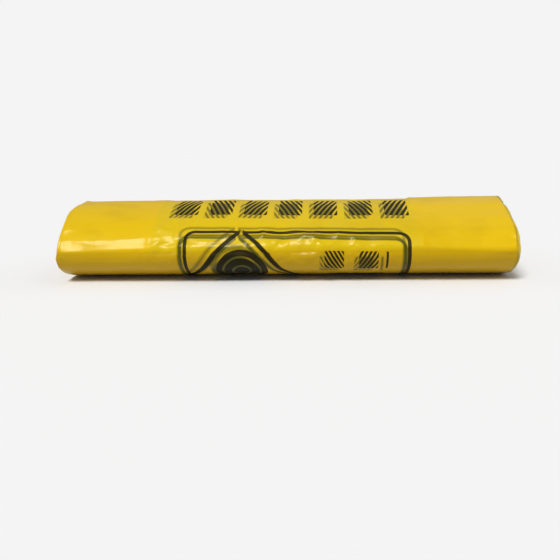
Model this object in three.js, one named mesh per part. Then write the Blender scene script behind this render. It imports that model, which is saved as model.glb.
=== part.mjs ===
// A pack of yellow film bags, rolled up flat, lying on its side.
//
// Fifty gusseted bags lie on each other in one pile, and the pile is rolled up from one end into a flattened roll.
// Every bag is a strip that follows the roll from its outer end towards the core. A bag further in goes the
// shorter way round, so its two ends reach further: the fifty outer ends step back one behind the other over the
// back of the roll, where the pile thins out to nothing, and the outer bags stop short of the core.
//
// Units are millimetres. X runs along the roll, -Y is the front, Z is up, and the origin is the middle of the
// underside.
import * as THREE from "three";

// The bag, laid flat
const BAG_WIDTH = 500;
const BAG_LENGTH = 800;

// The pile: each bag's two plies with the air held between them, and the gap to the next one
const OUTER_BAG_THICKNESS = 0.5;
const SECOND_BAG_THICKNESS = 0.5;
const THIRD_BAG_THICKNESS = 0.5;
const GROUP_THICKNESS = 2.7;
const LAYER_GAP = 0.3;

// The roll's section
const CORE_HALF_WIDTH = 34;
const CORE_SLIT = 1;
const FOLD_SHARE = 1.36;
const LOWER_SHARE = 0.79;
const UPPER_SHARE = 1.21;
const UPPER_POWER = 1.65;
const LOWER_POWER = 2.3;
const BOTTOM_FLATTENING = 1.06;

// Where the outer ends of the bags lie: the innermost bag's end, and how far round the others step back
const LAST_END_ANGLE = THREE.MathUtils.degToRad(58);
const STEPPED_TURN = 0.35;
const CLOSING_TURN = 0.15;

// How far each layer has slipped sideways in the pile
const SECOND_BAG_SLIP = -4;
const THIRD_BAG_SLIP = -2;
const GROUP_SLIPS = [1.5, -1, 4, 0.5];

const STEPS_PER_TURN = 36;
const LEAST_STEP = 0.006;
const LEAST_CORNER_STEP = 0.002;
const TURN_TOLERANCE = 0.0001;

const FILM_COLOUR = 0xe8bf14;
const FILM_ROUGHNESS = 0.32;

const LAYERS = [
  { name: "outer_bag", thickness: OUTER_BAG_THICKNESS, slip: 0 },
  { name: "second_bag", thickness: SECOND_BAG_THICKNESS, slip: SECOND_BAG_SLIP },
  { name: "third_bag", thickness: THIRD_BAG_THICKNESS, slip: THIRD_BAG_SLIP },
  { name: "bags_04_to_15", thickness: GROUP_THICKNESS, slip: GROUP_SLIPS[0] },
  { name: "bags_16_to_27", thickness: GROUP_THICKNESS, slip: GROUP_SLIPS[1] },
  { name: "bags_28_to_39", thickness: GROUP_THICKNESS, slip: GROUP_SLIPS[2] },
  { name: "bags_40_to_50", thickness: GROUP_THICKNESS, slip: GROUP_SLIPS[3] },
];

const PILE_THICKNESS = LAYERS.reduce((sum, layer) => sum + layer.thickness + LAYER_GAP, 0);

// How much of the pile is there at a place, counted in turns back from the innermost bag's outer end.
function pileAt(turns) {
  return PILE_THICKNESS * THREE.MathUtils.clamp(turns / STEPPED_TURN, 0, 1);
}

// How deep under the roll's surface the pile's outer face lies: under every turn that is wound over it.
function coverAt(turns) {
  let depth = 0;
  for (let outer = turns - 1; outer > 0; outer -= 1) depth += pileAt(outer);
  return depth;
}

// How deep the face lies that has inside of it this much of the full pile.
function faceDepth(turns, inside) {
  return coverAt(turns) + Math.max(0, pileAt(turns) - inside);
}

// How deep the core line lies under the surface at a place, in a roll whose pile ends after this many turns. Past
// the pile's inner end the room that it takes up closes down.
function fullDepth(turns, endTurns) {
  const part = turns - Math.floor(turns);
  const innermost = part + Math.floor(endTurns - part);
  const past = innermost + 1 - endTurns;
  const closing = 1 - THREE.MathUtils.smoothstep(past, 0, CLOSING_TURN);
  return coverAt(innermost) + pileAt(innermost) + PILE_THICKNESS * closing + CORE_SLIT;
}

// The thickness, from the core line to the surface, that such a roll evens out to.
function woundThickness(endTurns) {
  return PILE_THICKNESS * (endTurns - STEPPED_TURN / 2 + CLOSING_TURN / 2) + CORE_SLIT;
}

// A point of the section, depth under the surface of a roll whose pile ends after this many turns.
function sectionPoint(turns, depth, endTurns) {
  const angle = LAST_END_ANGLE - turns * 2 * Math.PI;
  const across = Math.cos(angle);
  const up = Math.sin(angle);
  const upper = up > 0;
  const power = 2 / (upper ? UPPER_POWER : LOWER_POWER);
  const wound = woundThickness(endTurns);
  const left = wound * (1 - depth / fullDepth(turns, endTurns));
  const y = Math.sign(across) * Math.abs(across) ** power * (CORE_HALF_WIDTH + FOLD_SHARE * left);
  const rise = Math.abs(up) ** power;
  const z = upper ? rise * UPPER_SHARE * left : -Math.min(1, rise * BOTTOM_FLATTENING) * LOWER_SHARE * left;
  return new THREE.Vector2(y, z + LOWER_SHARE * wound);
}

// How long the middle bag is in such a roll.
function middleBagLength(endTurns) {
  const middle = PILE_THICKNESS / 2;
  const start = STEPPED_TURN / 2;
  const steps = Math.ceil((endTurns - start) * STEPS_PER_TURN);
  let last = null;
  let length = 0;
  for (let k = 0; k <= steps; k += 1) {
    const turns = start + ((endTurns - start) * k) / steps;
    const here = sectionPoint(turns, faceDepth(turns, middle), endTurns);
    if (last) length += here.distanceTo(last);
    last = here;
  }
  return length;
}

// The turns that take up a whole bag's length.
function turnsForLength() {
  let low = 1;
  let high = low + BAG_LENGTH / CORE_HALF_WIDTH;
  while (high - low > TURN_TOLERANCE) {
    const middle = (low + high) / 2;
    if (middleBagLength(middle) < BAG_LENGTH) low = middle;
    else high = middle;
  }
  return low;
}

const TURNS = turnsForLength();

// The turn at which the pile is this thick at its stepped outer end.
function steppedTurn(thickness) {
  return (STEPPED_TURN * thickness) / PILE_THICKNESS;
}

// The places round the roll, in parts of a turn, where every face of every layer has a point. All the faces share
// them, so none of them cuts the corner of the next one.
function placesRound() {
  const corners = [TURNS, TURNS + CLOSING_TURN];
  let inside = PILE_THICKNESS;
  for (const layer of LAYERS) {
    corners.push(steppedTurn(inside), steppedTurn(inside - layer.thickness));
    inside -= layer.thickness + LAYER_GAP;
  }
  const places = [];
  const add = (turns, clear) => {
    const place = turns - Math.floor(turns);
    const near = places.some((other) => {
      const apart = Math.abs(other - place);
      return Math.min(apart, 1 - apart) < clear;
    });
    if (!near) places.push(place);
  };
  for (const corner of corners) add(corner, LEAST_CORNER_STEP);
  for (let k = 0; k < STEPS_PER_TURN; k += 1) add(k / STEPS_PER_TURN, LEAST_STEP);
  return places;
}

// The turns of those places, from the outer end of the pile to its inner one.
function placesAlong() {
  const along = [];
  for (const place of placesRound()) {
    for (let turns = place; turns < TURNS + LEAST_CORNER_STEP / 2; turns += 1) along.push(turns);
  }
  return along.sort((a, b) => a - b);
}

const PLACES = placesAlong();

// Where a layer stops: a bag's length in from its outer end, or at the pile's inner end if that comes first.
function lastTurns(above, thickness) {
  const middle = PILE_THICKNESS - above - thickness / 2;
  let last = null;
  let length = 0;
  for (const turns of PLACES) {
    if (turns < steppedTurn(middle)) continue;
    const here = sectionPoint(turns, faceDepth(turns, middle), TURNS);
    if (last) length += here.distanceTo(last);
    if (length > BAG_LENGTH) return turns;
    last = here;
  }
  return PLACES[PLACES.length - 1];
}

// One layer's closed outline: out along its outer face and back along its inner one.
function layerOutline(above, thickness) {
  const outerInside = PILE_THICKNESS - above;
  const innerInside = outerInside - thickness;
  const firstTurns = steppedTurn(innerInside);
  const tip = sectionPoint(firstTurns, faceDepth(firstTurns, innerInside), TURNS);
  const endTurns = lastTurns(above, thickness);
  const kept = PLACES.filter((turns) => turns > firstTurns + LEAST_CORNER_STEP / 2 && turns <= endTurns);
  const outer = kept.map((turns) => sectionPoint(turns, faceDepth(turns, outerInside), TURNS));
  const inner = kept.map((turns) => sectionPoint(turns, faceDepth(turns, innerInside), TURNS));
  return [tip, ...outer, ...inner.reverse()];
}

// Turns the extrusion's own axes into the roll's: its outline into Y and Z, its depth into X.
const ALONG_ROLL = new THREE.Matrix4().makeBasis(
  new THREE.Vector3(0, 1, 0),
  new THREE.Vector3(0, 0, 1),
  new THREE.Vector3(1, 0, 0),
);

function layerMesh(layer, above) {
  const shape = new THREE.Shape(layerOutline(above, layer.thickness));
  const geometry = new THREE.ExtrudeGeometry(shape, { depth: BAG_WIDTH, bevelEnabled: false });
  const material = new THREE.MeshStandardMaterial({
    color: FILM_COLOUR,
    roughness: FILM_ROUGHNESS,
    metalness: 0,
  });
  const mesh = new THREE.Mesh(geometry, material);
  mesh.name = layer.name;
  mesh.quaternion.setFromRotationMatrix(ALONG_ROLL);
  mesh.position.x = layer.slip - BAG_WIDTH / 2;
  return mesh;
}

const pack = new THREE.Group();
let above = 0;
for (const layer of LAYERS) {
  pack.add(layerMesh(layer, above));
  above += layer.thickness + LAYER_GAP;
}

export default pack;
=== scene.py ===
"""Dresses a flattened roll of yellow film bags: the printed outer film and the films under it."""
import math

import bpy
import numpy as np
from mathutils import Matrix, Vector


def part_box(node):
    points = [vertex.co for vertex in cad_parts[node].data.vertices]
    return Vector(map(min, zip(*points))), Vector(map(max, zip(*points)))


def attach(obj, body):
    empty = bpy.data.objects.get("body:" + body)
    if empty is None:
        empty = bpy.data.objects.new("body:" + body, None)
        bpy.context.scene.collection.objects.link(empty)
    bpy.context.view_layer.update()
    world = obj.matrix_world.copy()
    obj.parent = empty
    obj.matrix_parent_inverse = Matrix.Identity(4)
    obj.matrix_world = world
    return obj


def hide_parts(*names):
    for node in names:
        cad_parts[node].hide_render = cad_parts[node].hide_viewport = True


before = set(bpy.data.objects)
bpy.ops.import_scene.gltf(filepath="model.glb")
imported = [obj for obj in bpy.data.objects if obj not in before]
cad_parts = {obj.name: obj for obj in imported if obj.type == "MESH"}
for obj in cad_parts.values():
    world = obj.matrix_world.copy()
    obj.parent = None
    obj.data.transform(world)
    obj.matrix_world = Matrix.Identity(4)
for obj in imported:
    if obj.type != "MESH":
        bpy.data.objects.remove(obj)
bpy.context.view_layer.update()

bl_info = {
    "name": "Rolled film bags",
    "version": (1, 0, 0),
    "blender": (4, 5, 0),
    "location": "3D View > Sidebar > Film bags",
    "description": "Makes the films of a flattened roll of waste bags, and a plain stage to see it on",
    "category": "Object",
}

MM = 0.001

# The roll's section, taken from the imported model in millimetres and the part's own proportions
outer_low, outer_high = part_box("outer_bag")
BAG_WIDTH = (outer_high.x - outer_low.x) / MM
ROLL_HEIGHT = outer_high.z / MM
HALF_DEPTH = -outer_low.y / MM
LOWER_SHARE = 0.79
UPPER_SHARE = 1.21
WOUND = ROLL_HEIGHT / (LOWER_SHARE + UPPER_SHARE)
FOLD_SHARE = 1.36
CORE_HALF_WIDTH = HALF_DEPTH - FOLD_SHARE * WOUND
CORE_SLIT = 1
UPPER_POWER = 1.65
LOWER_POWER = 2.3
BOTTOM_FLATTENING = 1.06

# The pile of bags, outside first: how thick each node's share of it is, and how many bags it holds
LAYER_GAP = 0.3
SINGLE_THICKNESS = 0.5
GROUP_THICKNESS = 2.7
LAYERS = {
    "outer_bag": (SINGLE_THICKNESS, 1),
    "second_bag": (SINGLE_THICKNESS, 1),
    "third_bag": (SINGLE_THICKNESS, 1),
    "bags_04_to_15": (GROUP_THICKNESS, 12),
    "bags_16_to_27": (GROUP_THICKNESS, 12),
    "bags_28_to_39": (GROUP_THICKNESS, 12),
    "bags_40_to_50": (GROUP_THICKNESS, 11),
}
PILE_THICKNESS = sum(thickness + LAYER_GAP for thickness, bags in LAYERS.values())
STEPPED_TURN = 0.35
CLOSING_TURN = 0.15
LAST_END_ANGLE = math.radians(58)
END_TURN = (WOUND - CORE_SLIT) / PILE_THICKNESS + STEPPED_TURN / 2 - CLOSING_TURN / 2

# The bag as it lies flat: how far from its middle the gussets fold in, and its length
GUSSET_FOLD = 150
BAG_LENGTH = 800

# The front fold's direction round the section, and how finely the section is stepped for lengths
FOLD_ANGLE = math.pi
LENGTH_STEPS = 6001
BAG_LENGTH_STEPS = 2001


class BagSettings(bpy.types.PropertyGroup):
    """Sizes and colours of the films that a user would change."""

    film_colour: bpy.props.FloatVectorProperty(
        name="Film colour",
        description="Colour of the film where four plies lie on each other",
        subtype="COLOR",
        default=(0.66, 0.43, 0.001),
    )
    # Painted shade: a darker colour for the film's lower face and underside, below the front fold, where the
    # roll turns down away from the light
    underside_shade_colour: bpy.props.FloatVectorProperty(
        name="Tight film colour",
        description="Colour of the film under the front fold, where it is drawn tight over the pile",
        subtype="COLOR",
        default=(0.47, 0.285, 0.0),
    )
    thin_colour: bpy.props.FloatVectorProperty(
        name="Thin film colour",
        description="Colour of the film between the gussets, where there are two plies",
        subtype="COLOR",
        default=(0.60, 0.43, 0.004),
    )
    edge_colour: bpy.props.FloatVectorProperty(
        name="Edge colour",
        description="Colour of the film ends, where many plies are seen edge on",
        subtype="COLOR",
        default=(0.52, 0.37, 0.008),
    )
    # Drawn only along the right side fold, as a darker olive band
    rim_colour: bpy.props.FloatVectorProperty(
        name="Side fold colour",
        description="Colour of the side folds, where the plies lie closest",
        subtype="COLOR",
        default=(0.2, 0.17, 0.012),
    )
    ink_colour: bpy.props.FloatVectorProperty(
        name="Ink colour",
        description="Colour of the print on the outer film",
        subtype="COLOR",
        default=(0.0025, 0.002, 0.001),
    )
    ghost_colour: bpy.props.FloatVectorProperty(
        name="Ghost colour",
        description="Colour of the next bags' print as it shows through the outer film",
        subtype="COLOR",
        default=(0.045, 0.05, 0.003),
    )
    roughness: bpy.props.FloatProperty(
        name="Roughness",
        description="How dull the film's own gloss is",
        subtype="FACTOR",
        min=0,
        max=1,
        default=0.36,
    )
    mesh_step: bpy.props.FloatProperty(
        name="Mesh step",
        description="Distance between the outer film's mesh lines",
        unit="LENGTH",
        default=1.6 * MM,
    )
    ridge_depth: bpy.props.FloatProperty(
        name="Ridge depth",
        description="How far the flat faces over and under the front's ridge line are pressed in",
        unit="LENGTH",
        default=1.0 * MM,
    )
    swell: bpy.props.FloatProperty(
        name="Swell",
        description="How far the roll's upper side bulges and sags",
        unit="LENGTH",
        default=1.1 * MM,
    )
    crease_height: bpy.props.FloatProperty(
        name="Crease height",
        description="Height of the outer film's creases",
        unit="LENGTH",
        default=1.1 * MM,
    )
    crumple_height: bpy.props.FloatProperty(
        name="Crumple height",
        description="Height of the small flat faces that the slack film is crumpled into",
        unit="LENGTH",
        default=2.0 * MM,
    )
    end_slip: bpy.props.FloatProperty(
        name="End slip",
        description="How far the bags' side folds lie before and behind each other at the roll's ends",
        unit="LENGTH",
        default=2.0 * MM,
    )
    end_curl: bpy.props.FloatProperty(
        name="End curl",
        description="How far a bag's outer end lifts off the next bag's",
        unit="LENGTH",
        default=0.7 * MM,
    )


class PrintSettings(bpy.types.PropertyGroup):
    """Sizes of the plain generic print, on the film laid flat."""

    left: bpy.props.FloatProperty(
        name="Frame left",
        description="Where the frame's left line is",
        unit="LENGTH",
        default=-110 * MM,
    )
    right: bpy.props.FloatProperty(
        name="Frame right",
        description="Where the frame's right line is",
        unit="LENGTH",
        default=138 * MM,
    )
    top: bpy.props.FloatProperty(
        name="Frame top",
        description="How far over the front fold the frame's top line is",
        unit="LENGTH",
        default=29 * MM,
    )
    bottom: bpy.props.FloatProperty(
        name="Frame bottom",
        description="How far over the front fold the frame's bottom line is, under it where negative",
        unit="LENGTH",
        default=-99 * MM,
    )
    line_width: bpy.props.FloatProperty(
        name="Line width",
        description="Width of the frame's line",
        unit="LENGTH",
        default=4.0 * MM,
    )
    corner_radius: bpy.props.FloatProperty(
        name="Corner radius",
        description="Radius of the frame's corners",
        unit="LENGTH",
        default=13 * MM,
    )
    tilt: bpy.props.FloatProperty(
        name="Tilt",
        description="How far the print is turned on the film",
        subtype="ANGLE",
        default=math.radians(-1.2),
    )
    diamond_place: bpy.props.FloatProperty(
        name="Diamond place",
        description="Where the diamond's middle is along the bag's width",
        unit="LENGTH",
        default=-46.5 * MM,
    )
    diamond_half: bpy.props.FloatProperty(
        name="Diamond half size",
        description="From the diamond's middle to its corners",
        unit="LENGTH",
        default=63 * MM,
    )
    ring_radius: bpy.props.FloatProperty(
        name="Ring radius",
        description="Outer radius of the ring in the diamond",
        unit="LENGTH",
        default=29 * MM,
    )


class StageSettings(bpy.types.PropertyGroup):
    """The camera, the lights and the floor."""

    camera_place: bpy.props.FloatVectorProperty(
        name="Camera place",
        description="Where the camera stands",
        subtype="TRANSLATION",
        default=(0.0376, -0.7093, 0.1436),
    )
    camera_down: bpy.props.FloatProperty(
        name="Camera down",
        description="How far the camera looks down",
        subtype="ANGLE",
        default=math.radians(12.67),
    )
    camera_left: bpy.props.FloatProperty(
        name="Camera left",
        description="How far the camera looks to the left",
        subtype="ANGLE",
        default=math.radians(3.83),
    )
    camera_roll: bpy.props.FloatProperty(
        name="Camera roll",
        description="How far the camera is turned about its own line of sight",
        subtype="ANGLE",
        default=math.radians(-1.11),
    )
    field_of_view: bpy.props.FloatProperty(
        name="Field of view",
        description="The angle that the picture takes in from side to side",
        subtype="ANGLE",
        default=2 * math.atan(280 / 580),
    )
    key_strength: bpy.props.FloatProperty(
        name="Key light",
        description="Strength of the soft light from the front left",
        default=2.85,
    )
    key_height: bpy.props.FloatProperty(
        name="Key height",
        description="How high over the floor the key light stands",
        subtype="ANGLE",
        default=math.radians(54),
    )
    key_left: bpy.props.FloatProperty(
        name="Key left",
        description="How far to the left of the front the key light stands",
        subtype="ANGLE",
        default=math.radians(24),
    )
    key_softness: bpy.props.FloatProperty(
        name="Key softness",
        description="How wide the key light looks from the roll",
        subtype="ANGLE",
        default=math.radians(22),
    )
    fill_strength: bpy.props.FloatProperty(
        name="Fill light",
        description="Strength of the weak soft light from behind on the right",
        default=0.28,
    )
    room_light: bpy.props.FloatProperty(
        name="Room light",
        description="Brightness of the room as it lights the roll",
        default=0.3,
    )
    floor_colour: bpy.props.FloatVectorProperty(
        name="Floor colour",
        description="Colour of the plain pale floor",
        subtype="COLOR",
        default=(0.82, 0.82, 0.82),
    )


# Smooth noise, the same on every run: what its lattice is mixed with, and how its facets bend
MIX_I, MIX_J, MIX_K, MIX_SEED = 127.1, 311.7, 74.7, 19.19
MIX_SPREAD = 43758.5453
FACET_BEND = 0.38
FACET_BEND_SCALE = 0.7


def lattice(i, j, k, seed):
    """A random height from -1 to 1 for each whole-numbered place."""
    mixed = np.sin(i * MIX_I + j * MIX_J + k * MIX_K + seed * MIX_SEED) * MIX_SPREAD
    return 2 * (mixed - np.floor(mixed)) - 1


def noise(a, b, c=0.0, seed=0):
    a, b, c = np.broadcast_arrays(a, b, c)
    base = [np.floor(v) for v in (a, b, c)]
    part = [v - f for v, f in zip((a, b, c), base)]
    ease = [p * p * (3 - 2 * p) for p in part]
    total = np.zeros(a.shape)
    for i in (0, 1):
        for j in (0, 1):
            for k in (0, 1):
                weight = (ease[0] if i else 1 - ease[0]) * (ease[1] if j else 1 - ease[1])
                weight = weight * (ease[2] if k else 1 - ease[2])
                total = total + weight * lattice(base[0] + i, base[1] + j, base[2] + k, seed)
    return total


def facets(a, b, seed=0):
    """Flat three-sided faces between random heights from -1 to 1, about one unit across, with bent edges."""
    bend_a = a + FACET_BEND * noise(a * FACET_BEND_SCALE, b * FACET_BEND_SCALE, seed=seed + 1)
    bend_b = b + FACET_BEND * noise(a * FACET_BEND_SCALE, b * FACET_BEND_SCALE, seed=seed + 2)
    base_a = np.floor(bend_a)
    base_b = np.floor(bend_b)
    part_a = bend_a - base_a
    part_b = bend_b - base_b
    corner = {(i, j): lattice(base_a + i, base_b + j, 0.0, seed) for i in (0, 1) for j in (0, 1)}
    first = corner[1, 0] - corner[0, 0]
    second = corner[1, 1] - corner[1, 0]
    under = corner[0, 0] + first * part_a + second * part_b
    first = corner[1, 1] - corner[0, 1]
    second = corner[0, 1] - corner[0, 0]
    over = corner[0, 0] + first * part_a + second * part_b
    return np.where(part_a > part_b, under, over)


def smoothstep(low, high, value):
    t = np.clip((value - low) / (high - low), 0, 1)
    return t * t * (3 - 2 * t)


# The wound pile, as in the part's source
def pile_at(turns):
    return PILE_THICKNESS * np.clip(turns / STEPPED_TURN, 0, 1)


def cover_at(turns):
    depth = np.zeros_like(turns)
    for earlier in range(1, int(END_TURN) + 2):
        depth = depth + np.where(turns - earlier > 0, pile_at(turns - earlier), 0)
    return depth


def full_depth(turns):
    part = turns - np.floor(turns)
    innermost = part + np.floor(END_TURN - part)
    past = innermost + 1 - END_TURN
    closing = 1 - smoothstep(0, CLOSING_TURN, past)
    return cover_at(innermost) + pile_at(innermost) + PILE_THICKNESS * closing + CORE_SLIT


def bag_depth(turns, above):
    """How deep a bag that has this much of the pile over it lies under the roll's surface."""
    return cover_at(turns) + np.maximum(0, pile_at(turns) - (PILE_THICKNESS - above))


def section(turns, depth, out=0.0):
    """A point of the section in millimetres, out further from the core line than the roll is wound."""
    angle = LAST_END_ANGLE - turns * 2 * math.pi
    across = np.cos(angle)
    up = np.sin(angle)
    upper = up > 0
    power = np.where(upper, 2 / UPPER_POWER, 2 / LOWER_POWER)
    left = WOUND * (1 - depth / full_depth(turns))
    left = left + out * left / WOUND
    y = np.sign(across) * np.abs(across) ** power * (CORE_HALF_WIDTH + FOLD_SHARE * left)
    rise = np.abs(up) ** power
    below = -np.minimum(1, rise * BOTTOM_FLATTENING) * LOWER_SHARE * np.minimum(left, WOUND)
    z = np.where(upper, rise * UPPER_SHARE * left, below)
    return y, z + LOWER_SHARE * WOUND


# Length along the outer film, counted up over the front from the front fold
FRONT_FOLD_TURN = (LAST_END_ANGLE + 2 * math.pi - FOLD_ANGLE) / (2 * math.pi)
_turns = np.linspace(0, END_TURN, LENGTH_STEPS)
_y, _z = section(_turns, bag_depth(_turns, 0.0))
_steps = np.hypot(np.diff(_y), np.diff(_z))
_along = np.concatenate([[0], np.cumsum(_steps)])
_along = _along - np.interp(FRONT_FOLD_TURN, _turns, _along)


def length_at(turns):
    return np.interp(turns, _turns, _along)


def turn_at(length):
    return np.interp(length, _along, _turns)


def place_round(turns):
    """Where round the roll a turn is, as a length along its surface from the front fold."""
    angle = LAST_END_ANGLE - turns * 2 * math.pi
    up = (FOLD_ANGLE - angle) % (2 * math.pi)
    return np.interp(FRONT_FOLD_TURN + up / (2 * math.pi), _turns, _along)


def dished(place, low, high):
    """1 in the middle between two places and 0 at and beyond both, as a shallow curve."""
    part = np.clip((place - low) / (high - low), 0, 1)
    return 4 * part * (1 - part)


# The ridge line along the front, in millimetres: its height at the left end, then its rise and its fall
RIDGE_HEIGHT = 3.6
RIDGE_RISE = 5.4
RIDGE_FALL = 8.0
RIDGE_WANDER = 0.9

# How hard the film is pressed in over and under the ridge, on the left, on the right and between
UPPER_LEFT, UPPER_RIGHT, UPPER_MIDDLE = 0.5, 0.8, 0.6
LOWER_LEFT, LOWER_RIGHT, LOWER_MIDDLE = 1.3, 1.5, 1.1
SECOND_LEFT = 0.22

# How wide the pressed faces are
UPPER_WIDTH = 12.5
UPPER_NARROWS = 1.5
UPPER_WIDENS = 9
LOWER_WIDTH = 32
SECOND_WIDTH = 26


def ridge_relief(x, round_it, settings):
    """The ridge line along the front: the film is pressed flat over and under it."""
    line = RIDGE_HEIGHT + RIDGE_RISE * smoothstep(-235, -95, x) - RIDGE_FALL * smoothstep(110, 255, x)
    line = line + RIDGE_WANDER * noise(x / 38, 0.5, seed=12)
    left = smoothstep(-70, -125, x)
    right = smoothstep(135, 175, x)
    middle = 1 - left - right
    upper_width = UPPER_WIDTH - UPPER_NARROWS * smoothstep(-230, -110, x) + UPPER_WIDENS * right
    ripple = 0.75 + 0.45 * noise(x / 27, 3.5, seed=5)
    upper = left * UPPER_LEFT + right * UPPER_RIGHT + middle * UPPER_MIDDLE * ripple
    lower = left * LOWER_LEFT + right * LOWER_RIGHT + middle * LOWER_MIDDLE
    top = line + upper_width
    pressed = upper * dished(round_it, line, top)
    pressed = pressed + lower * dished(round_it, line - LOWER_WIDTH, line)
    second = SECOND_LEFT * left * dished(round_it, top, top + SECOND_WIDTH)
    return -settings.ridge_depth / MM * (pressed + second)


# The roll's upper side: thicker at the gussets, a step up over the right one's fold, a lean down to the right
GUSSET_THICKNESS = 0.35
TOP_STEP = 0.9
TOP_STEP_FROM = 144
TOP_STEP_WIDTH = 3
TOP_LEAN = 1.3


def swelling(x, turns, settings):
    """How far the roll's surface stands out or in at a place, in millimetres. Its underside stays flat."""
    round_it = place_round(turns)
    angle = LAST_END_ANGLE - turns * 2 * math.pi
    free = smoothstep(-0.62, -0.12, np.sin(angle))
    slow = noise(x / 120, np.cos(angle) * 1.3, np.sin(angle) * 1.3, seed=3)
    quick = noise(x / 46, np.cos(angle) * 2.9, np.sin(angle) * 2.9, seed=8)
    bulge = settings.swell / MM * (slow + 0.35 * quick)
    thick = GUSSET_THICKNESS * smoothstep(GUSSET_FOLD - 22, GUSSET_FOLD + 4, np.abs(x))
    on_top = smoothstep(0.82, 0.95, np.sin(angle))
    from_step = x - 6 * np.cos(angle)
    step = TOP_STEP * smoothstep(TOP_STEP_FROM, TOP_STEP_FROM + TOP_STEP_WIDTH, from_step) * on_top
    step = step - TOP_LEAN * smoothstep(-20, 190, x) * smoothstep(0.3, 0.9, np.sin(angle))
    return free * (bulge + thick + step) + ridge_relief(x, round_it, settings)


# The films as meshes: how far in from a side fold the lines of the outer ply and of the inner one lie
OUTER_LINES = (26, 14, 7, 3, 1, 0.25)
INNER_LINES = (0.25, 1, 4, 14)


def bag_columns(middle):
    """A bag's places across its width in millimetres, round both side folds, and the ply: 0 out, 1 in."""
    half = BAG_WIDTH / 2
    end = [half - line for line in OUTER_LINES]
    across = [-x for x in end[::-1]] + list(middle) + end
    outer = [(x, 0.0) for x in across]
    right = [(half, 0.5)] + [(half - line, 1.0) for line in INNER_LINES]
    left = [(-x, ply) for x, ply in right[::-1]]
    columns = np.array(left + outer + right)
    return columns[:, 0], columns[:, 1]


def end_share(x, reach):
    """0 away from the roll's ends, and up to 1 at them."""
    return smoothstep(BAG_WIDTH / 2 - reach, BAG_WIDTH / 2, np.abs(x))


# A bag's outer end lifts over this part of a turn. The outer three are drawn in at the roll's ends in front.
CURL_TURN = 0.018
DRAWN_IN_BAGS = 3
DRAWN_IN = 1.3
CRUMPLED_END = 34
SLIPPED_END = 60


def bag_points(above, turns, columns, settings, slip, number, fold):
    """The points of one bag as rows along the roll's turns and columns across the bag."""
    x, ply = columns
    x_grid = x[None, :] + np.zeros_like(turns)
    depth = bag_depth(turns, above) + ply[None, :] * fold
    out = swelling(x_grid, turns, settings)
    angle = LAST_END_ANGLE - turns * 2 * math.pi
    free = smoothstep(-0.75, -0.3, np.sin(angle))
    from_end = turns - start_turn(above)
    lifted = 0.55 + 0.45 * noise(x_grid / 21, number * 1.7, seed=35)
    out = out + settings.end_curl / MM * lifted * smoothstep(CURL_TURN, 0, from_end)
    crumple = noise(x_grid / 16, place_round(turns) / 17, depth / 7, seed=21)
    out = out + free * end_share(x_grid, CRUMPLED_END) * crumple * 1.1
    wave = noise(length_at(turns) / 24, number * 3.7, seed=31)
    wave = wave + 0.45 * noise(length_at(turns) / 6, number * 1.9, seed=32)
    side = np.sign(x)[None, :]
    drawn_in = DRAWN_IN if number <= DRAWN_IN_BAGS else 0.0
    drawn_in = drawn_in * smoothstep(90, 10, np.abs(place_round(turns) - 2))
    slipped = slip + (settings.end_slip / MM * 0.6 * wave - drawn_in) * side
    x_grid = x_grid + slipped * end_share(x_grid, SLIPPED_END)
    y, z = section(turns, depth, out)
    return x_grid, y, z


def grid_faces(rows, columns, first=0):
    corner = np.arange((rows - 1) * columns).reshape(rows - 1, columns)[:, :-1].ravel() + first
    return np.stack([corner, corner + 1, corner + columns + 1, corner + columns], axis=1)


def mesh_piece(name, points, faces, uv, material):
    """A smooth mesh from metres, with the film's flat coordinates as its UV map."""
    mesh = bpy.data.meshes.new(name)
    mesh.from_pydata(points.tolist(), [], faces.tolist())
    layer = mesh.uv_layers.new(name="flat")
    corners = np.zeros(len(mesh.loops), dtype=np.int32)
    mesh.loops.foreach_get("vertex_index", corners)
    layer.data.foreach_set("uv", uv[corners].astype(np.float32).ravel())
    mesh.polygons.foreach_set("use_smooth", np.ones(len(mesh.polygons), dtype=bool))
    mesh.materials.append(material)
    piece = bpy.data.objects.new(name, mesh)
    bpy.context.scene.collection.objects.link(piece)
    return piece


def start_turn(above):
    """Where a bag with this much of the pile over it has its outer end."""
    return STEPPED_TURN * (PILE_THICKNESS - above) / PILE_THICKNESS


def end_turn(above):
    """Where a bag's inner end lies: its length from the outer end, or in the core if that comes first."""
    turns = np.linspace(start_turn(above), END_TURN, BAG_LENGTH_STEPS)
    y, z = section(turns, bag_depth(turns, above))
    along = np.concatenate([[0], np.cumsum(np.hypot(np.diff(y), np.diff(z)))])
    return float(np.interp(BAG_LENGTH, along, turns))


# The rows of a bag's mesh along the roll, in turns
NEAR_END = np.array([0.0, 0.0025, 0.006, 0.011])
ROWS_FROM = 0.02
ROW_STEP = 1 / 44
LEAST_LAST_STEP = 0.004


def bag_mesh(above, settings, number, slip, middle, fold):
    """One bag's turns and points: its outer end a little ragged, then rows all the way to the inner end."""
    start = start_turn(above)
    end = end_turn(above)
    rest = np.arange(start + ROWS_FROM, end - LEAST_LAST_STEP, ROW_STEP)
    rows = np.concatenate([start + NEAR_END, rest, [end]])
    columns = bag_columns(middle)
    x = columns[0]
    ragged = 0.0016 * noise(x / 33, number * 2.3, seed=41) + 0.0006 * noise(x / 7, number * 1.3, seed=42)
    turns = rows[:, None] + ragged[None, :] * smoothstep(0.03, 0, rows - start)[:, None]
    turns = np.maximum(turns, 0)
    return turns, bag_points(above, turns, columns, settings, slip, number, fold)


def as_vertices(points, turns):
    """The points in metres, and where each lies on the flat film."""
    x, y, z = points
    uv = np.stack([x * MM, length_at(turns) * MM], axis=-1)
    return np.stack([x * MM, y * MM, z * MM], axis=-1).reshape(-1, 3), uv.reshape(-1, 2)


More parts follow.
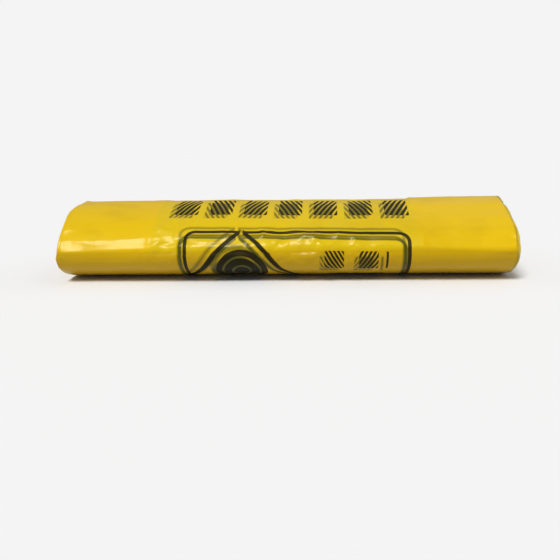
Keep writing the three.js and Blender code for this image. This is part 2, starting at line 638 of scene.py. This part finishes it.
# The outer film's creases, on its own flat coordinates
def crease(x, along, place, angle, length, tall, width, side):
    """One bent crease: steep on one side and gentle on the other, and gone at its two ends."""
    run_x = math.cos(angle)
    run_s = math.sin(angle)
    t = (x - place[0]) * run_x + (along - place[1]) * run_s
    off = (along - place[1]) * run_x - (x - place[0]) * run_s
    off = off + 0.12 * length * np.cos(t / length * math.pi) * side
    fade = smoothstep(length / 2, length / 9, np.abs(t))
    steep = np.where(off * side > 0, width, width * 2.6)
    return tall * fade * np.exp(-np.abs(off) / steep)


def creases(x, along, settings):
    """The outer film's creases in millimetres: the ones that are placed, and clusters of random ones."""
    chance = np.random.default_rng(17)
    unit = settings.crease_height / MM
    height = np.zeros_like(x)
    for mark in PLACED_CREASES:
        place = (mark["x"], mark["s"])
        tall = mark["height"] * unit
        shape = (mark["angle"], mark["length"], tall, mark["width"], mark["side"])
        height = height + crease(x, along, place, *shape)
    for cluster in CREASE_CLUSTERS:
        for _ in range(cluster["count"]):
            place = (
                chance.normal(cluster["x"], cluster["spread_x"]),
                chance.normal(cluster["s"], cluster["spread_s"]),
            )
            angle = chance.normal(cluster["angle"], cluster["spread_angle"])
            length = chance.uniform(0.5, 1.4) * cluster["length"]
            tall = chance.uniform(0.35, 1.0) * cluster["height"] * unit
            width = chance.uniform(0.7, 1.5) * cluster["width"]
            side = chance.choice([-1.0, 1.0])
            height = height + crease(x, along, place, angle, length, tall, width, side)
    return height


# Creases that stand out: middle on the flat film in millimetres, direction in radians, which side is steep
PLACED_CREASES = [
    {"x": -132, "s": 9, "angle": 0.20, "length": 46, "height": 1.3, "width": 2.6, "side": -1},
    {"x": -113, "s": 14, "angle": 0.75, "length": 22, "height": 1.5, "width": 1.8, "side": 1},
    {"x": -124, "s": 40, "angle": 1.95, "length": 34, "height": 1.5, "width": 3.4, "side": 1},
    {"x": -133, "s": 34, "angle": 2.7, "length": 30, "height": 1.0, "width": 3.0, "side": -1},
    {"x": -120, "s": 24, "angle": 1.2, "length": 20, "height": 1.0, "width": 2.0, "side": -1},
    {"x": -80, "s": 22, "angle": 0.06, "length": 60, "height": 0.9, "width": 2.6, "side": 1},
    {"x": -26, "s": 27, "angle": 2.1, "length": 20, "height": 1.2, "width": 1.7, "side": 1},
    {"x": -16, "s": 23, "angle": 0.5, "length": 26, "height": 1.0, "width": 2.0, "side": -1},
    {"x": 14, "s": 22, "angle": 2.75, "length": 34, "height": 1.3, "width": 2.4, "side": 1},
    {"x": 38, "s": 17, "angle": 2.2, "length": 24, "height": 1.5, "width": 1.9, "side": -1},
    {"x": 48, "s": 13, "angle": 0.35, "length": 28, "height": 1.2, "width": 2.2, "side": 1},
    {"x": 75, "s": 15, "angle": 1.35, "length": 18, "height": 1.2, "width": 1.7, "side": 1},
    {"x": 30, "s": 3, "angle": 0.15, "length": 42, "height": 1.3, "width": 2.4, "side": 1},
    {"x": 20, "s": -8, "angle": 2.6, "length": 30, "height": 0.9, "width": 2.8, "side": -1},
    {"x": 105, "s": 20, "angle": 0.05, "length": 50, "height": 0.5, "width": 2.6, "side": -1},
    {"x": -205, "s": 21, "angle": 0.03, "length": 70, "height": 0.3, "width": 1.8, "side": 1},
    {"x": -243, "s": 30, "angle": 0.3, "length": 26, "height": 1.1, "width": 2.6, "side": -1},
    {"x": -246, "s": 6, "angle": -0.2, "length": 18, "height": 1.4, "width": 2.0, "side": 1},
]

# Random creases round a middle, each value as it spreads
CREASE_CLUSTERS = [
    {"x": -128, "s": 24, "spread_x": 11, "spread_s": 16, "angle": 0.9, "spread_angle": 0.7,
     "count": 9, "length": 26, "height": 0.8, "width": 2.6},
    {"x": -25, "s": 24, "spread_x": 26, "spread_s": 7, "angle": 0.1, "spread_angle": 0.6,
     "count": 12, "length": 22, "height": 0.75, "width": 2.2},
    {"x": 40, "s": 12, "spread_x": 26, "spread_s": 11, "angle": 2.5, "spread_angle": 0.8,
     "count": 18, "length": 24, "height": 0.8, "width": 2.4},
    {"x": 70, "s": -14, "spread_x": 55, "spread_s": 12, "angle": 0.4, "spread_angle": 0.7,
     "count": 14, "length": 28, "height": 0.5, "width": 3.0},
    {"x": -60, "s": -14, "spread_x": 50, "spread_s": 12, "angle": -0.3, "spread_angle": 0.6,
     "count": 12, "length": 28, "height": 0.5, "width": 3.0},
    {"x": 0, "s": 75, "spread_x": 120, "spread_s": 30, "angle": 0.1, "spread_angle": 0.9,
     "count": 26, "length": 34, "height": 0.45, "width": 3.4},
    {"x": -247, "s": 6, "spread_x": 5, "spread_s": 24, "angle": 0.3, "spread_angle": 0.5,
     "count": 12, "length": 14, "height": 0.8, "width": 2.2},
    {"x": 247, "s": 14, "spread_x": 5, "spread_s": 26, "angle": -0.3, "spread_angle": 0.5,
     "count": 14, "length": 14, "height": 0.8, "width": 2.2},
    {"x": 195, "s": 10, "spread_x": 34, "spread_s": 26, "angle": -0.1, "spread_angle": 0.5,
     "count": 8, "length": 44, "height": 0.3, "width": 4.0},
]


# Where the outer film lies slack: all over, between the gusset folds, beside the left one and in the frame
SLACK_ALL_OVER = 0.12
SLACK_BETWEEN_FOLDS = 0.28
SLACK_BESIDE_FOLD = 0.8
SLACK_IN_FRAME = 0.9


def slack(x, along):
    """How slack the outer film lies at a place, from 0 to 1."""
    beside_fold = np.exp(-(((x + 128) / 22) ** 2) - ((along - 26) / 26) ** 2)
    in_frame = np.exp(-(((x - 16) / 58) ** 2) - ((along - 9) / 20) ** 2)
    total = SLACK_ALL_OVER + SLACK_BETWEEN_FOLDS * smoothstep(GUSSET_FOLD + 6, GUSSET_FOLD - 20, np.abs(x))
    return np.clip(total + SLACK_BESIDE_FOLD * beside_fold + SLACK_IN_FRAME * in_frame, 0, 1)


# The upright gusset folds as lines on the outer film, and the relief that is all over it, in millimetres
LEFT_FOLD_LEAN = 0.02
RIGHT_FOLD_LEAN = -0.015
FOLD_HEIGHT = 0.32
FOLD_WIDTH = 1.6
WIDE_FACETS = 0.22
RIPPLE_HEIGHT = 0.07


def film_relief(x, along, settings):
    """The outer film's own relief over the roll's shape, in millimetres."""
    relief = creases(x, along, settings)
    for fold, lean in ((-GUSSET_FOLD, LEFT_FOLD_LEAN), (GUSSET_FOLD + 1, RIGHT_FOLD_LEAN)):
        off = x - fold - lean * along - 0.8 * noise(along / 40, fold, seed=51)
        relief = relief + FOLD_HEIGHT * np.exp(-np.abs(off) / FOLD_WIDTH)
    relief = relief + WIDE_FACETS * facets(x / 34 - along / 90, along / 22, seed=81)
    large = facets(x / 23 + along / 60, along / 15, seed=61)
    small = facets(x / 10.5, along / 8 - x / 40, seed=71)
    crumpled = settings.crumple_height / MM * slack(x, along)
    relief = relief + crumpled * (0.5 + 0.5 * large + 0.34 * small)
    ripple = noise(x / 15, along / 11, seed=52) + 0.5 * noise(x / 6.5, along / 5.5, seed=53)
    return relief + RIPPLE_HEIGHT * ripple


def out_from_surface(points, relief):
    """Moves a grid of points along its own normals by this many millimetres."""
    x, y, z = points
    grid = np.stack([x, y, z], axis=-1)
    along_rows = np.gradient(grid, axis=0)
    along_columns = np.gradient(grid, axis=1)
    normal = np.cross(along_columns, along_rows)
    length = np.linalg.norm(normal, axis=-1, keepdims=True)
    normal = normal / np.maximum(length, 1e-9)
    grid = grid + normal * relief[..., None]
    return grid[..., 0], grid[..., 1], grid[..., 2]


# Materials. A Field is a number that varies over the surface, made of maths nodes.
class Field:
    def __init__(self, tree, socket):
        self.tree = tree
        self.socket = socket

    def maths(self, operation, *others):
        node = self.tree.nodes.new("ShaderNodeMath")
        node.operation = operation
        for place, value in enumerate((self, *others)):
            feed(self.tree, node.inputs[place], value)
        return Field(self.tree, node.outputs[0])

    def __add__(self, other):
        return self.maths("ADD", other)

    def __sub__(self, other):
        return self.maths("SUBTRACT", other)

    def __mul__(self, other):
        return self.maths("MULTIPLY", other)

    def __truediv__(self, other):
        return self.maths("DIVIDE", other)

    def abs(self):
        return self.maths("ABSOLUTE")

    def high(self, other):
        return self.maths("MAXIMUM", other)

    def low(self, other):
        return self.maths("MINIMUM", other)

    def length_with(self, other):
        return (self * self + other * other).maths("SQRT")

    def under(self, edge, softness):
        """1 where this is under the edge and 0 over it, with a soft step between."""
        node = self.tree.nodes.new("ShaderNodeMapRange")
        node.interpolation_type = "SMOOTHSTEP"
        feed(self.tree, node.inputs["Value"], self)
        node.inputs["From Min"].default_value = edge - softness
        node.inputs["From Max"].default_value = edge + softness
        node.inputs["To Min"].default_value = 1
        node.inputs["To Max"].default_value = 0
        return Field(self.tree, node.outputs["Result"])


def feed(tree, socket, value):
    if isinstance(value, Field):
        tree.links.new(value.socket, socket)
    else:
        socket.default_value = value


def flat_place(tree):
    """The film's own flat coordinates in millimetres: across the bag, and up from the front fold."""
    uv = tree.nodes.new("ShaderNodeUVMap")
    uv.uv_map = "flat"
    parts = tree.nodes.new("ShaderNodeSeparateXYZ")
    tree.links.new(uv.outputs["UV"], parts.inputs["Vector"])
    across = Field(tree, parts.outputs["X"]) * (1 / MM)
    along = Field(tree, parts.outputs["Y"]) * (1 / MM)
    return across, along


def texture_noise(tree, place, scale, detail=3.0, roughness=0.55, stretch=(1, 1, 1)):
    mapping = tree.nodes.new("ShaderNodeMapping")
    mapping.inputs["Scale"].default_value = stretch
    tree.links.new(place, mapping.inputs["Vector"])
    node = tree.nodes.new("ShaderNodeTexNoise")
    node.inputs["Scale"].default_value = scale
    node.inputs["Detail"].default_value = detail
    node.inputs["Roughness"].default_value = roughness
    tree.links.new(mapping.outputs["Vector"], node.inputs["Vector"])
    return Field(tree, node.outputs["Fac"])


def box_edge(across, along, middle, half, radius):
    """How far a place is outside a box with round corners, under 0 inside it."""
    over_x = (across - middle[0]).abs() - (half[0] - radius)
    over_s = (along - middle[1]).abs() - (half[1] - radius)
    outside = over_x.high(0.0).length_with(over_s.high(0.0))
    inside = over_x.high(over_s).low(0.0)
    return outside + inside - radius


def hatched_row(across, along, first, count, pitch, size, softness, slope, strokes):
    """A row of plain blocks of slanting strokes, every other one slanting back."""
    width, height = size
    shifted = across - first
    block = (shifted / pitch).maths("FLOOR").high(0.0).low(count - 1.0)
    inside = shifted - block * pitch
    edge = box_edge(inside, along, (width / 2, 0.0), (width / 2, height / 2), 2.0)
    spacing = width / strokes
    leaning = block.maths("MODULO", 2.0) * (-2.0 * slope) + slope
    slanted = inside + along * leaning
    stroke = ((slanted / spacing).maths("FRACT") - 0.5).abs() * spacing
    return edge.under(0.0, softness) * stroke.under(spacing * STROKE_SHARE, softness)


def print_ink(across, along, settings, softness, words=True, spread=0.0):
    """How much ink there is at a place of the flat film, from 0 to 1, in millimetres."""
    turn = math.tan(settings.tilt)
    middle_x = settings.diamond_place / MM
    up = along - (across - middle_x) * turn
    left = settings.left / MM
    right = settings.right / MM
    top = settings.top / MM
    bottom = settings.bottom / MM
    half_line = settings.line_width / MM / 2 + spread
    middle = ((left + right) / 2, (top + bottom) / 2)
    half = ((right - left) / 2, (top - bottom) / 2)
    frame_edge = box_edge(across, up, middle, half, settings.corner_radius / MM)
    frame_line = (frame_edge + half_line).abs().under(half_line, softness)
    off = (across - middle_x).abs()
    diamond_half = settings.diamond_half / MM
    rise = up - (top - diamond_half) + up.low(0.0) * (EASED_UNDER_FOLD - 1)
    diamond_edge = (off + rise.abs() - diamond_half) * math.sqrt(0.5)
    diamond_line = diamond_edge.abs().under(half_line * 1.2, softness)
    gap = off.under(1.6, 0.5)
    ink = frame_line.high(diamond_line)
    ink = ink * (gap * -1.0 + 1.0)
    ring_radius = settings.ring_radius / MM
    ring_place = off.length_with(up - RING_UP)
    disc = ring_place.under(ring_radius, softness)
    for share in OPEN_RINGS:
        disc = disc * ((ring_place - ring_radius * share).abs().under(1.2, softness) * -1.0 + 1.0)
    ink = ink.high(disc)
    if words:
        title_up = up - TITLE_UP
        note_up = up - NOTE_UP
        title_row = (TITLE_FIRST, TITLE_BLOCKS, TITLE_PITCH, TITLE_SIZE)
        note_row = (NOTE_FIRST, NOTE_BLOCKS, NOTE_PITCH, NOTE_SIZE)
        title = hatched_row(across, title_up, *title_row, softness, TITLE_SLANT, STROKES)
        note = hatched_row(across, note_up, *note_row, softness, NOTE_SLANT, STROKES)
        mark_half = (MARK_HALF_WIDTH, NOTE_SIZE[1] / 2)
        mark = box_edge(across, up, (MARK_PLACE, NOTE_UP), mark_half, 1.0).under(0.0, softness)
        line_half = (LINE_LENGTH / 2, LINE_HALF_WIDTH)
        line = box_edge(across, up, (LINE_PLACE, LINE_UP), line_half, 1.5).under(0.0, softness)
        ink = ink.high(title).high(note).high(mark).high(line)
    return ink


# The film is drawn out where it turns under the front fold, so the diamond runs on straight there
EASED_UNDER_FOLD = 0.75

# The disc in the diamond: where its middle is, and its open rings as shares of its radius
RING_UP = -24
OPEN_RINGS = (0.72, 0.34)

# Where the plain blocks of the print are, in millimetres on the flat film
TITLE_UP = 80
TITLE_FIRST = -127
TITLE_BLOCKS = 7
TITLE_PITCH = 40
TITLE_SIZE = (27, 44)
NOTE_UP = -6
NOTE_FIRST = 45
NOTE_BLOCKS = 2
NOTE_PITCH = 37
NOTE_SIZE = (21, 22)
MARK_PLACE = 112.5
MARK_HALF_WIDTH = 1.2
LINE_PLACE = 80
LINE_UP = -37
LINE_LENGTH = 60
LINE_HALF_WIDTH = 3.0

# The strokes of the blocks: how many across a block, how wide of their spacing, and how they slant
STROKES = 4.5
STROKE_SHARE = 0.31
TITLE_SLANT = -0.4
NOTE_SLANT = 0.6


def film_material(name, settings, printed):
    """Glossy, faintly milky film over the next films, with the print and its ghosts on the outer one."""
    material = bpy.data.materials.new(name)
    material.use_nodes = True
    tree = material.node_tree
    shader = tree.nodes["Principled BSDF"]
    across, along = flat_place(tree)
    place = tree.nodes.new("ShaderNodeTexCoord").outputs["Object"]

    thin = (across.abs()).under(GUSSET_FOLD - 4.0, 5.0)
    contact = texture_noise(tree, place, 38, detail=4, stretch=(0.6, 1, 1))
    cloud = texture_noise(tree, place, 9, detail=2)
    tone = (contact - 0.5) * 0.5 + (cloud - 0.5) * 0.55 + 0.5
    thinness = (thin * 0.75 + (tone - 0.5) * 0.7).high(0.0).low(1.0)
    colour = mix_colour(tree, thinness, settings.film_colour, settings.thin_colour)
    # Painted shade: below the front fold the film is mixed toward the darker colour, as if its downward face
    # were shaded
    shaded = along.under(SHADE_UNDER, SHADE_BLEND) * (tone * 0.5 + 0.72)
    colour = mix_colour(tree, shaded.low(1.0), colour, settings.underside_shade_colour)
    patch = ((cloud - 0.52) * 1.5 + (contact - 0.5) * 1.2).high(0.0).low(PATCH_SHARE)
    colour = mix_colour(tree, patch, colour, settings.underside_shade_colour)
    rim = (across.under(RIM_FROM, RIM_BLEND) * -1.0 + 1.0) * (tone * 1.6 - 0.1)
    colour = mix_colour(tree, rim.high(0.0).low(1.0), colour, settings.rim_colour)
    rough = (contact - 0.5) * 0.16 + settings.roughness
    if printed:
        colour, ink = print_colour(tree, colour, across, along, tone)
        rough = rough + ink * INK_DULLS
        coat = ink * -FILM_COAT + FILM_COAT
        tree.links.new(coat.socket, shader.inputs["Coat Weight"])
    tree.links.new(colour, shader.inputs["Base Color"])
    tree.links.new(rough.socket, shader.inputs["Roughness"])
    shader.inputs["IOR"].default_value = FILM_IOR
    shader.inputs["Specular IOR Level"].default_value = FILM_GLOSS
    shader.inputs["Specular Tint"].default_value = (*GLOSS_TINT, 1)
    shader.inputs["Coat Weight"].default_value = FILM_COAT
    shader.inputs["Coat Roughness"].default_value = COAT_ROUGHNESS
    shader.inputs["Coat IOR"].default_value = COAT_IOR

    crinkle = texture_noise(tree, place, 240, detail=3, roughness=0.6, stretch=(0.7, 1, 1))
    crease = (texture_noise(tree, place, 70, detail=3, stretch=(0.6, 1, 1)) - 0.5).abs()
    height = crinkle * 0.10 + crease * -0.42
    bump = tree.nodes.new("ShaderNodeBump")
    bump.inputs["Strength"].default_value = FILM_BUMP
    bump.inputs["Distance"].default_value = FILM_BUMP_HEIGHT * MM
    tree.links.new(height.socket, bump.inputs["Height"])
    tree.links.new(bump.outputs["Normal"], shader.inputs["Normal"])
    return material


# How much of the painted shade colour the random patches take, where the film touches the next one
PATCH_SHARE = 0.4

# The film's gloss, warm from the film's own colour, and its smooth outside, which the ink covers
FILM_IOR = 1.5
FILM_GLOSS = 0.22
GLOSS_TINT = (1.0, 0.86, 0.42)
FILM_COAT = 0.14
COAT_ROUGHNESS = 0.15
COAT_IOR = 1.45

# The film's fine crinkle
FILM_BUMP = 0.5
FILM_BUMP_HEIGHT = 0.9

# How much rougher the ink makes the film
INK_DULLS = 0.2

# From where out to the right side fold the film is drawn a darker olive; the left side fold is not
RIM_FROM = 248.0
RIM_BLEND = 1.3

# Up to where the painted shade reaches over the front fold, in millimetres, and over how much it fades
SHADE_UNDER = 3.5
SHADE_BLEND = 4.5


def mix_colour(tree, factor, first, second):
    """Mixes from the first colour to the second. Each is a colour or the output of a node."""
    node = tree.nodes.new("ShaderNodeMix")
    node.data_type = "RGBA"
    tree.links.new(factor.socket, node.inputs["Factor"])
    for socket, value in ((node.inputs[6], first), (node.inputs[7], second)):
        if isinstance(value, bpy.types.NodeSocket):
            tree.links.new(value, socket)
        else:
            socket.default_value = (*value, 1)
    return node.outputs[2]


def print_colour(tree, colour, across, along, tone):
    """The film's colour with the print and the next bags' faint print on it, and how much ink there is."""
    sizes = bpy.context.scene.film_print
    settings = bpy.context.scene.film_bags
    high_part = (along - 40.0).high(0.0)
    for ghost in GHOSTS:
        shifted_x = across - ghost["x"]
        shifted_s = along - ghost["s"] + high_part * ghost["stretch"]
        ghost_ink = print_ink(shifted_x, shifted_s, sizes, ghost["softness"], ghost["words"], GHOST_SPREAD)
        ghost_ink = ghost_ink * (tone * 0.5 + 0.72) * ghost["strength"]
        colour = mix_colour(tree, ghost_ink.low(1.0), colour, settings.ghost_colour)
    ink = print_ink(across, along, sizes, 0.35)
    return mix_colour(tree, ink * 0.97, colour, settings.ink_colour), ink


# The next bags' print as it shows through: how far it lies off the outer one in millimetres, and how blurred
GHOSTS = [
    {"x": -6.0, "s": 5.5, "stretch": 0.0, "softness": 2.2, "strength": 0.7, "words": False},
    {"x": -4.0, "s": -8.5, "stretch": 0.0, "softness": 0.9, "strength": 0.85, "words": False},
    {"x": -5.5, "s": -5.5, "stretch": 0.12, "softness": 1.5, "strength": 0.85, "words": True},
]
GHOST_SPREAD = -0.5


def settled(piece, nodes):
    """A finished piece rides on the roll's one body and stands for its nodes."""
    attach(piece, "root")
    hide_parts(*nodes)
    return piece


# Up to which turn the outer bag shows, how far apart the bags' plies lie, and the columns of the meshes
OUTER_SHOWN_TO = 1.03
OUTER_FOLD = 0.3
NEXT_FOLD = 0.25
FOLD_OF_PITCH = 0.8
OUTER_MIDDLE_FROM_END = 27
MIDDLE_FROM_END = 34
NEXT_COLUMNS = 44
INNER_COLUMNS = 22
SINGLE_BAGS = 3


class FILM_OT_outer(bpy.types.Operator):
    """Makes the printed outer bag, from its outer end under the roll round to its inner end"""

    bl_idname = "film_bags.outer"
    bl_label = "Outer bag"

    def execute(self, context):
        settings = context.scene.film_bags
        step = settings.mesh_step / MM
        start = start_turn(0.0)
        shown = turn_at(np.arange(length_at(start), length_at(OUTER_SHOWN_TO), step))
        end = end_turn(0.0)
        hidden = np.arange(OUTER_SHOWN_TO, end - LEAST_LAST_STEP, ROW_STEP)
        rows = np.concatenate([shown, hidden, [end]])
        inner_edge = BAG_WIDTH / 2 - OUTER_MIDDLE_FROM_END
        middle = np.arange(-inner_edge, inner_edge + step / 2, step)
        columns = bag_columns(middle)
        x, ply = columns
        ragged = 0.0012 * noise(x / 33, 1.0, seed=41) + 0.0004 * noise(x / 7, 1.0, seed=42)
        turns = rows[:, None] + ragged[None, :] * smoothstep(0.03, 0, rows - start)[:, None]
        points = bag_points(0.0, turns, columns, settings, 0.0, 1, OUTER_FOLD)
        along = length_at(turns)
        relief = film_relief(x[None, :] + np.zeros_like(turns), along, settings)
        angle = LAST_END_ANGLE - turns * 2 * math.pi
        shown = smoothstep(OUTER_SHOWN_TO, OUTER_SHOWN_TO - 0.05, turns)
        free = smoothstep(-0.9, -0.55, np.sin(angle)) * shown
        points = out_from_surface(points, relief * free * (1 - ply)[None, :])
        vertices, uv = as_vertices(points, turns)
        material = film_material("printed film", settings, printed=True)
        faces = grid_faces(*turns.shape)
        piece = mesh_piece("outer_film", vertices, faces, uv, material)
        settled(piece, ["outer_bag"])
        return {"FINISHED"}


class FILM_OT_next(bpy.types.Operator):
    """Makes the second and third bags, which show at the roll's ends and over its back"""

    bl_idname = "film_bags.next"
    bl_label = "Second and third bags"

    def execute(self, context):
        settings = context.scene.film_bags
        material = film_material("plain film", settings, printed=False)
        inner_edge = BAG_WIDTH / 2 - MIDDLE_FROM_END
        middle = np.linspace(-inner_edge, inner_edge, NEXT_COLUMNS)
        for number, (node, above) in enumerate(tops_in_pile(), start=2):
            if node not in ("second_bag", "third_bag"):
                continue
            low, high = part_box(node)
            slip = (low.x + high.x) / 2 / MM
            turns, points = bag_mesh(above, settings, number, slip, middle, NEXT_FOLD)
            vertices, uv = as_vertices(points, turns)
            faces = grid_faces(*turns.shape)
            piece = mesh_piece(node.replace("bag", "film"), vertices, faces, uv, material)
            settled(piece, [node])
        return {"FINISHED"}


def tops_in_pile():
    """Each node of the pile under the outer bag, with how much of the pile lies over it."""
    above = 0.0
    tops = []
    for node, (thickness, bags) in LAYERS.items():
        if node != "outer_bag":
            tops.append((node, above))
        above += thickness + LAYER_GAP
    return tops


class FILM_OT_inner(bpy.types.Operator):
    """Makes the forty-seven bags under them, one mesh for each group of bags"""

    bl_idname = "film_bags.inner"
    bl_label = "Inner bags"

    def execute(self, context):
        settings = context.scene.film_bags
        material = edge_material("film ends", settings)
        chance = np.random.default_rng(5)
        inner_edge = BAG_WIDTH / 2 - MIDDLE_FROM_END
        middle = np.linspace(-inner_edge, inner_edge, INNER_COLUMNS)
        number = SINGLE_BAGS
        for node, top in tops_in_pile():
            thickness, bags = LAYERS[node]
            if bags == 1:
                continue
            low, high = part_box(node)
            group_slip = (low.x + high.x) / 2 / MM
            vertices = []
            faces = []
            uvs = []
            count = 0
            for bag in range(bags):
                number += 1
                above = top + thickness * bag / bags
                slip = group_slip + chance.normal(0, settings.end_slip / MM * 0.5)
                fold = thickness / bags * FOLD_OF_PITCH
                turns, points = bag_mesh(above, settings, number, slip, middle, fold)
                bag_vertices, uv = as_vertices(points, turns)
                vertices.append(bag_vertices)
                uvs.append(uv)
                faces.append(grid_faces(*turns.shape, first=count))
                count += len(bag_vertices)
            name = node.replace("bags", "film")
            arrays = [np.concatenate(part) for part in (vertices, faces, uvs)]
            piece = mesh_piece(name, *arrays, material)
            settled(piece, [node])
        return {"FINISHED"}


# The film ends' own gloss and their fine crinkle
EDGE_ROUGHNESS = 0.4
EDGE_COAT = 0.2
EDGE_COAT_ROUGHNESS = 0.2
EDGE_BUMP = 0.4
EDGE_BUMP_HEIGHT = 0.6


def edge_material(name, settings):
    """The same film seen as many ends and folds together, olive where the plies lie close."""
    material = bpy.data.materials.new(name)
    material.use_nodes = True
    tree = material.node_tree
    shader = tree.nodes["Principled BSDF"]
    place = tree.nodes.new("ShaderNodeTexCoord").outputs["Object"]
    streak = texture_noise(tree, place, 160, detail=4, stretch=(0.15, 1, 1))
    cloud = texture_noise(tree, place, 22, detail=3)
    share = (streak * 0.7 + cloud * 0.6 - 0.15).high(0.0).low(1.0)
    colour = mix_colour(tree, share, settings.edge_colour, settings.film_colour)
    tree.links.new(colour, shader.inputs["Base Color"])
    shader.inputs["Roughness"].default_value = EDGE_ROUGHNESS
    shader.inputs["IOR"].default_value = FILM_IOR
    shader.inputs["Coat Weight"].default_value = EDGE_COAT
    shader.inputs["Coat Roughness"].default_value = EDGE_COAT_ROUGHNESS
    bump = tree.nodes.new("ShaderNodeBump")
    bump.inputs["Strength"].default_value = EDGE_BUMP
    bump.inputs["Distance"].default_value = EDGE_BUMP_HEIGHT * MM
    tree.links.new(texture_noise(tree, place, 260, detail=3).socket, bump.inputs["Height"])
    tree.links.new(bump.outputs["Normal"], shader.inputs["Normal"])
    return material


class FILM_OT_stage(bpy.types.Operator):
    """Makes the pale floor, the soft lights and the camera at the photograph's angle"""

    bl_idname = "film_bags.stage"
    bl_label = "Stage"

    def execute(self, context):
        settings = context.scene.film_stage
        make_floor(settings)
        make_lights(context.scene, settings)
        make_camera(context.scene, settings)
        context.scene.view_settings.view_transform = "Standard"
        context.scene.view_settings.look = "None"
        return {"FINISHED"}


FLOOR_RADIUS = 40.0
FLOOR_CORNERS = 96
FLOOR_ROUGHNESS = 0.9


def make_floor(settings):
    """A pale floor that reaches far past the roll on every side."""
    points = [
        (FLOOR_RADIUS * math.cos(a), FLOOR_RADIUS * math.sin(a), 0.0)
        for a in np.linspace(0, 2 * math.pi, FLOOR_CORNERS, endpoint=False)
    ]
    mesh = bpy.data.meshes.new("floor")
    mesh.from_pydata(points, [], [tuple(range(FLOOR_CORNERS))])
    material = bpy.data.materials.new("pale floor")
    material.use_nodes = True
    shader = material.node_tree.nodes["Principled BSDF"]
    shader.inputs["Base Color"].default_value = (*settings.floor_colour, 1)
    shader.inputs["Roughness"].default_value = FLOOR_ROUGHNESS
    shader.inputs["Specular IOR Level"].default_value = 0.0
    mesh.materials.append(material)
    floor = bpy.data.objects.new("floor", mesh)
    bpy.context.scene.collection.objects.link(floor)


def make_lights(scene, settings):
    """A soft light from the front left and a weak one behind, in a pale room as bright as the floor."""
    world = bpy.data.worlds.new("pale room")
    world.use_nodes = True
    tree = world.node_tree
    background = tree.nodes["Background"]
    background.inputs["Color"].default_value = (1, 1, 1, 1)
    direct = settings.key_strength * math.sin(settings.key_height)
    direct = direct + settings.fill_strength * math.sin(FILL_HEIGHT)
    seen = (settings.room_light + direct / math.pi) * settings.floor_colour[0]
    ray = tree.nodes.new("ShaderNodeLightPath")
    more_seen = seen - settings.room_light
    strength = Field(tree, ray.outputs["Is Camera Ray"]) * more_seen + settings.room_light
    tree.links.new(strength.socket, background.inputs["Strength"])
    scene.world = world
    key = (settings.key_strength, settings.key_softness, settings.key_height, settings.key_left)
    far_light("key light", *key)
    far_light("fill light", settings.fill_strength, FILL_SOFTNESS, FILL_HEIGHT, FILL_LEFT)


FILL_SOFTNESS = math.radians(80)
FILL_HEIGHT = math.radians(50)
FILL_LEFT = math.radians(235)


def far_light(name, strength, softness, height, left):
    """A soft light from far away, this high over the floor and this far round to the left of the front."""
    light = bpy.data.lights.new(name, "SUN")
    light.energy = strength
    light.angle = softness
    holder = bpy.data.objects.new(name, light)
    aside = math.cos(height)
    towards = Vector((-aside * math.sin(left), -aside * math.cos(left), math.sin(height)))
    holder.location = towards
    holder.rotation_euler = towards.to_track_quat("Z", "Y").to_euler()
    bpy.context.scene.collection.objects.link(holder)


def make_camera(scene, settings):
    camera = bpy.data.cameras.new("camera")
    camera.sensor_width = 36
    camera.lens = 18 / math.tan(settings.field_of_view / 2)
    camera.clip_start = 0.01
    holder = bpy.data.objects.new("camera", camera)
    turn = Matrix.Rotation(settings.camera_left, 4, "Z")
    turn = turn @ Matrix.Rotation(math.pi / 2 - settings.camera_down, 4, "X")
    turn = turn @ Matrix.Rotation(settings.camera_roll, 4, "Z")
    holder.matrix_world = Matrix.Translation(settings.camera_place) @ turn
    scene.collection.objects.link(holder)
    scene.camera = holder


class FILM_PT_panel(bpy.types.Panel):
    """Lists the roll's pieces"""

    bl_idname = "FILM_PT_panel"
    bl_label = "Film bags"
    bl_space_type = "VIEW_3D"
    bl_region_type = "UI"
    bl_category = "Film bags"

    def draw(self, context):
        for operator in OPERATORS:
            self.layout.operator(operator.bl_idname)
        for group in ("film_bags", "film_print", "film_stage"):
            box = self.layout.box()
            settings = getattr(context.scene, group)
            for name in settings.bl_rna.properties.keys():
                if name not in ("rna_type", "name"):
                    box.prop(settings, name)


OPERATORS = (FILM_OT_outer, FILM_OT_next, FILM_OT_inner, FILM_OT_stage)
CLASSES = (BagSettings, PrintSettings, StageSettings, *OPERATORS, FILM_PT_panel)


def register():
    for made in CLASSES:
        bpy.utils.register_class(made)
    bpy.types.Scene.film_bags = bpy.props.PointerProperty(type=BagSettings)
    bpy.types.Scene.film_print = bpy.props.PointerProperty(type=PrintSettings)
    bpy.types.Scene.film_stage = bpy.props.PointerProperty(type=StageSettings)


def unregister():
    del bpy.types.Scene.film_stage
    del bpy.types.Scene.film_print
    del bpy.types.Scene.film_bags
    for made in reversed(CLASSES):
        bpy.utils.unregister_class(made)


def main():
    register()
    bpy.ops.film_bags.outer()
    bpy.ops.film_bags.next()
    bpy.ops.film_bags.inner()
    bpy.ops.film_bags.stage()


if __name__ == "__main__":
    main()
